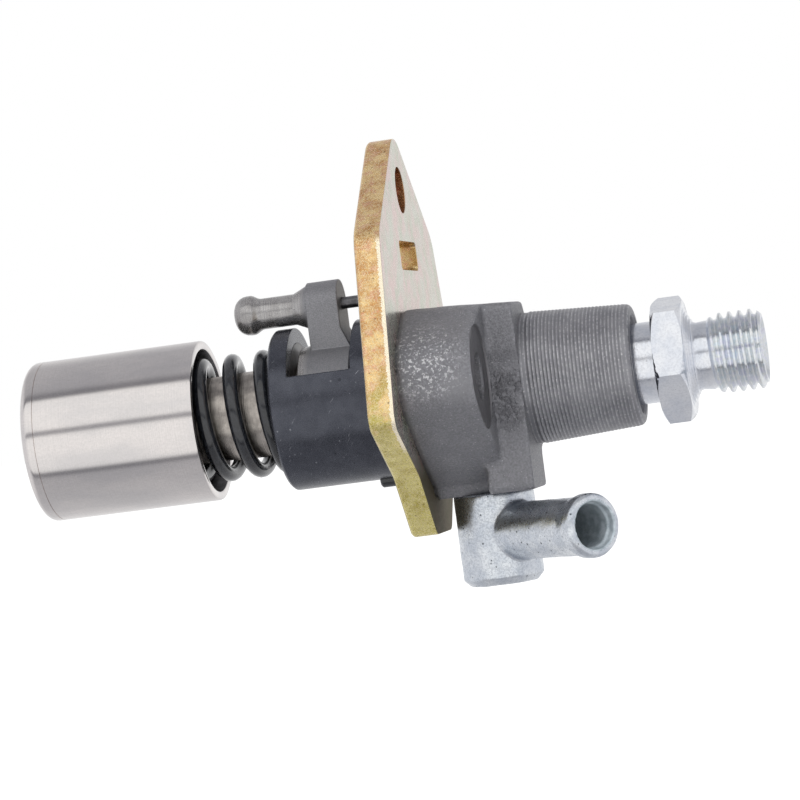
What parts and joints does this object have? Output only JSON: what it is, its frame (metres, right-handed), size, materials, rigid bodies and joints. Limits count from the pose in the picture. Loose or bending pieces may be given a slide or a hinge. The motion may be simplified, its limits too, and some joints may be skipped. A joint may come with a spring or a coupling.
{
  "type": "fuel injection pump",
  "caption": "Plunger pump for a diesel engine, with a cup tappet, exposed return spring, slotted guide barrel, control arm, flange plate, side inlet and threaded outlet.",
  "frame": {"origin": "on the pump's axis, at the mounting face of the flange plate", "axes": "+X along the pump's axis towards the outlet, +Z towards the plate's top fixing hole, -Y towards the side that the inlet tube points to"},
  "size_m": [0.1118, 0.0586, 0.0685],
  "materials": {
    "ground_steel": "ground and satin, with faint lengthwise reflections",
    "hardened_steel": "lapped",
    "pressed_steel": "plain pressed sheet",
    "black_spring": "glossy black",
    "black_oxide": "blackened steel, satin with small specks",
    "black_pin": "blackened steel",
    "sleeve_steel": "turned",
    "sintered_steel": "fine grained grey",
    "pin_steel": "drawn",
    "yellow_zinc": "yellow passivated zinc, iridescent on the face",
    "cast_iron": "grainy casting with finely turned faces",
    "copper": "soft copper",
    "bright_zinc": "bright bluish zinc plating",
    "rubber": "matt black",
    "pitted_zinc": "zinc plating with small pits"
  },
  "bodies": {
    "root": {"mounting_plate": "yellow_zinc", "cast_body": "cast_iron", "guide_barrel": "black_oxide", "locating_pin": "black_pin", "upper_spring_seat": "pressed_steel", "plunger_spring": "black_spring", "plunger_barrel": "hardened_steel", "barrel_index_pin": "pin_steel", "delivery_valve_seat": "hardened_steel", "valve_gasket": "copper", "valve_spring": "black_spring", "delivery_valve_holder": "bright_zinc", "holder_o_ring": "rubber", "inlet_elbow": "pitted_zinc"},
    "tappet": {"tappet": "ground_steel", "adjusting_shim": "hardened_steel", "lower_spring_seat": "pressed_steel"},
    "lever": {"control_sleeve": "sleeve_steel", "control_arm": "sintered_steel", "arm_pin": "pin_steel"},
    "plunger": {"plunger": "hardened_steel"},
    "valve": {"delivery_valve": "hardened_steel"}
  },
  "joints": [
    {"name": "tappet_slide", "type": "slide", "parent": "root", "child": "tappet", "axis": [1, 0, 0], "range_m": [0, 0.007], "stiffness_N_per_m": 9000, "springref_m": -0.001, "deforming": ["plunger_spring"]},
    {"name": "lever_turn", "type": "hinge", "parent": "root", "child": "lever", "pos_m": [-0.0099, 0, 0], "axis": [1, 0, 0], "range_deg": [-22, 22]},
    {"name": "plunger_slide", "type": "slide", "parent": "lever", "child": "plunger", "axis": [1, 0, 0], "range_m": [0, 0.007]},
    {"name": "valve_slide", "type": "slide", "parent": "root", "child": "valve", "axis": [1, 0, 0], "range_m": [0, 0.0025], "stiffness_N_per_m": 7000, "springref_m": -0.0005, "deforming": ["valve_spring"]}
  ],
  "couplings": [
    {"joint": "plunger_slide", "follows": "tappet_slide", "ratio": 1}
  ]
}
